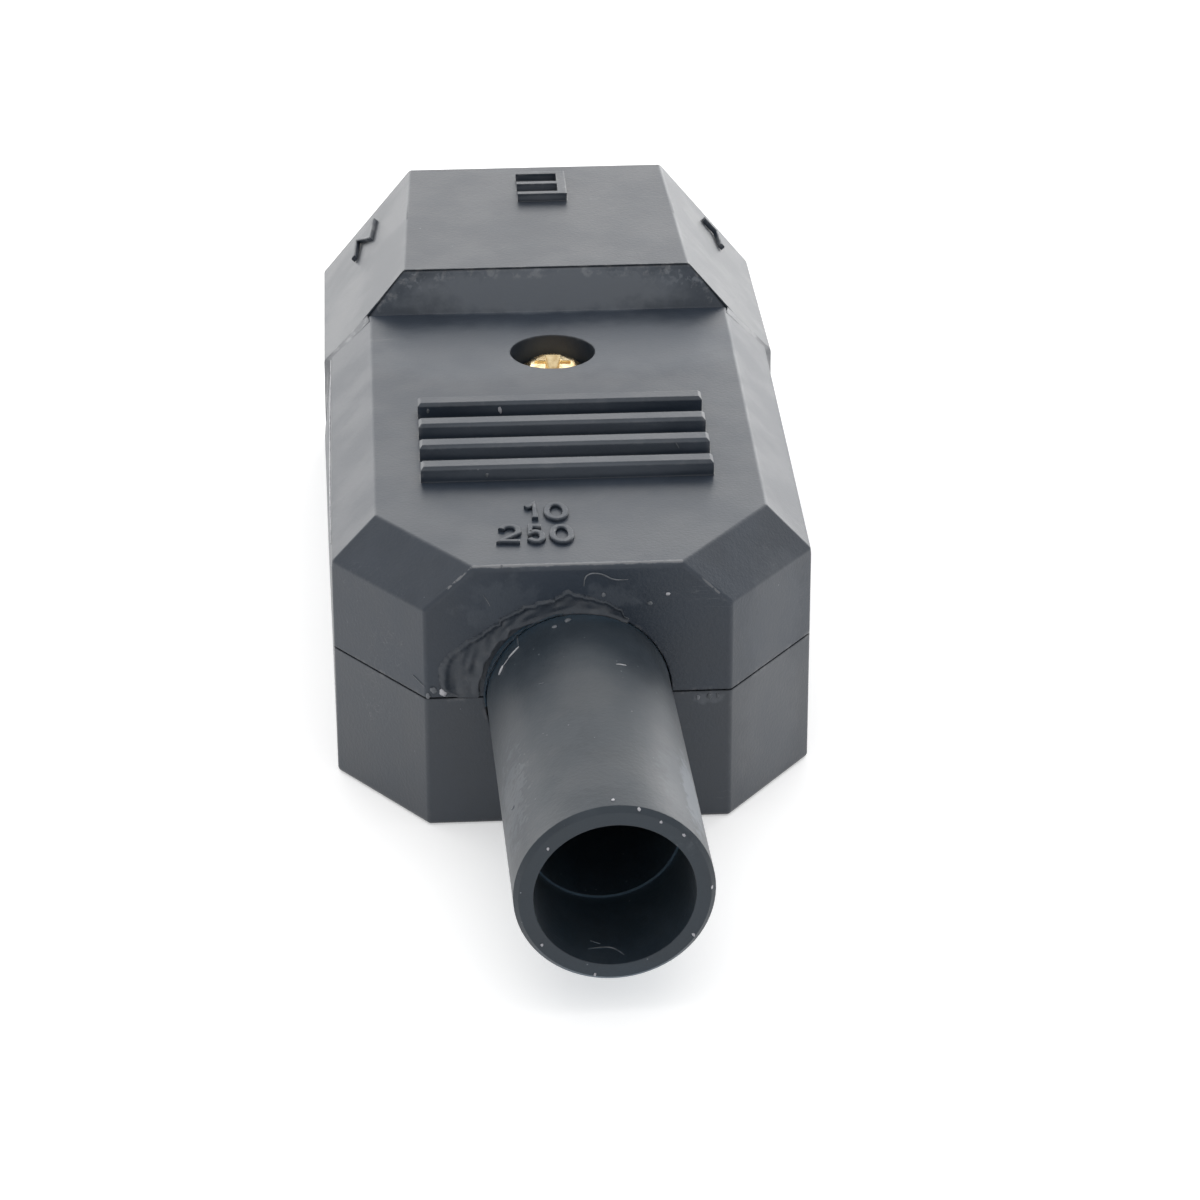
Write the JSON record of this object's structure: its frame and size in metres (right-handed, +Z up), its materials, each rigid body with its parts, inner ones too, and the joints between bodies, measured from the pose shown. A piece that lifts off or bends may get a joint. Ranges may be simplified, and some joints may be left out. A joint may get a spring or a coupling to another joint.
{
  "type": "rewireable iec plug",
  "caption": "Black rewireable cable plug with a closed shroud round three flat pins, a screwed faceted cover with grip ribs and a rubber cord boot.",
  "frame": {"origin": "middle of the plug's outline box, on its flat underside", "axes": "+Y along the plug towards the mating mouth, +Z up through the cover screw, +X to the right seen from the cord end"},
  "size_m": [0.0322, 0.0859, 0.0221],
  "materials": {
    "housing": "fine matt moulded nylon, lightly scuffed",
    "boot": "smooth dull rubber",
    "pins": "bright, lightly tarnished",
    "terminals": "satin turned brass",
    "yellow_screw": "bright yellow plated",
    "steel": "dull zinc plated"
  },
  "bodies": {
    "root": {"base": "housing", "cover": "housing", "cord_boot": "boot", "cover_screw": "yellow_screw", "cover_nut": "steel", "pin_live": "pins", "pin_neutral": "pins", "pin_earth": "pins", "terminal_live": "terminals", "terminal_neutral": "terminals", "terminal_earth": "terminals", "screw_live": "steel", "screw_neutral": "steel", "screw_earth": "steel", "guard_live": "terminals", "guard_neutral": "terminals", "guard_earth": "terminals", "cord_clamp": "housing", "clamp_screw_left": "steel", "clamp_screw_right": "steel"}
  },
  "joints": []
}
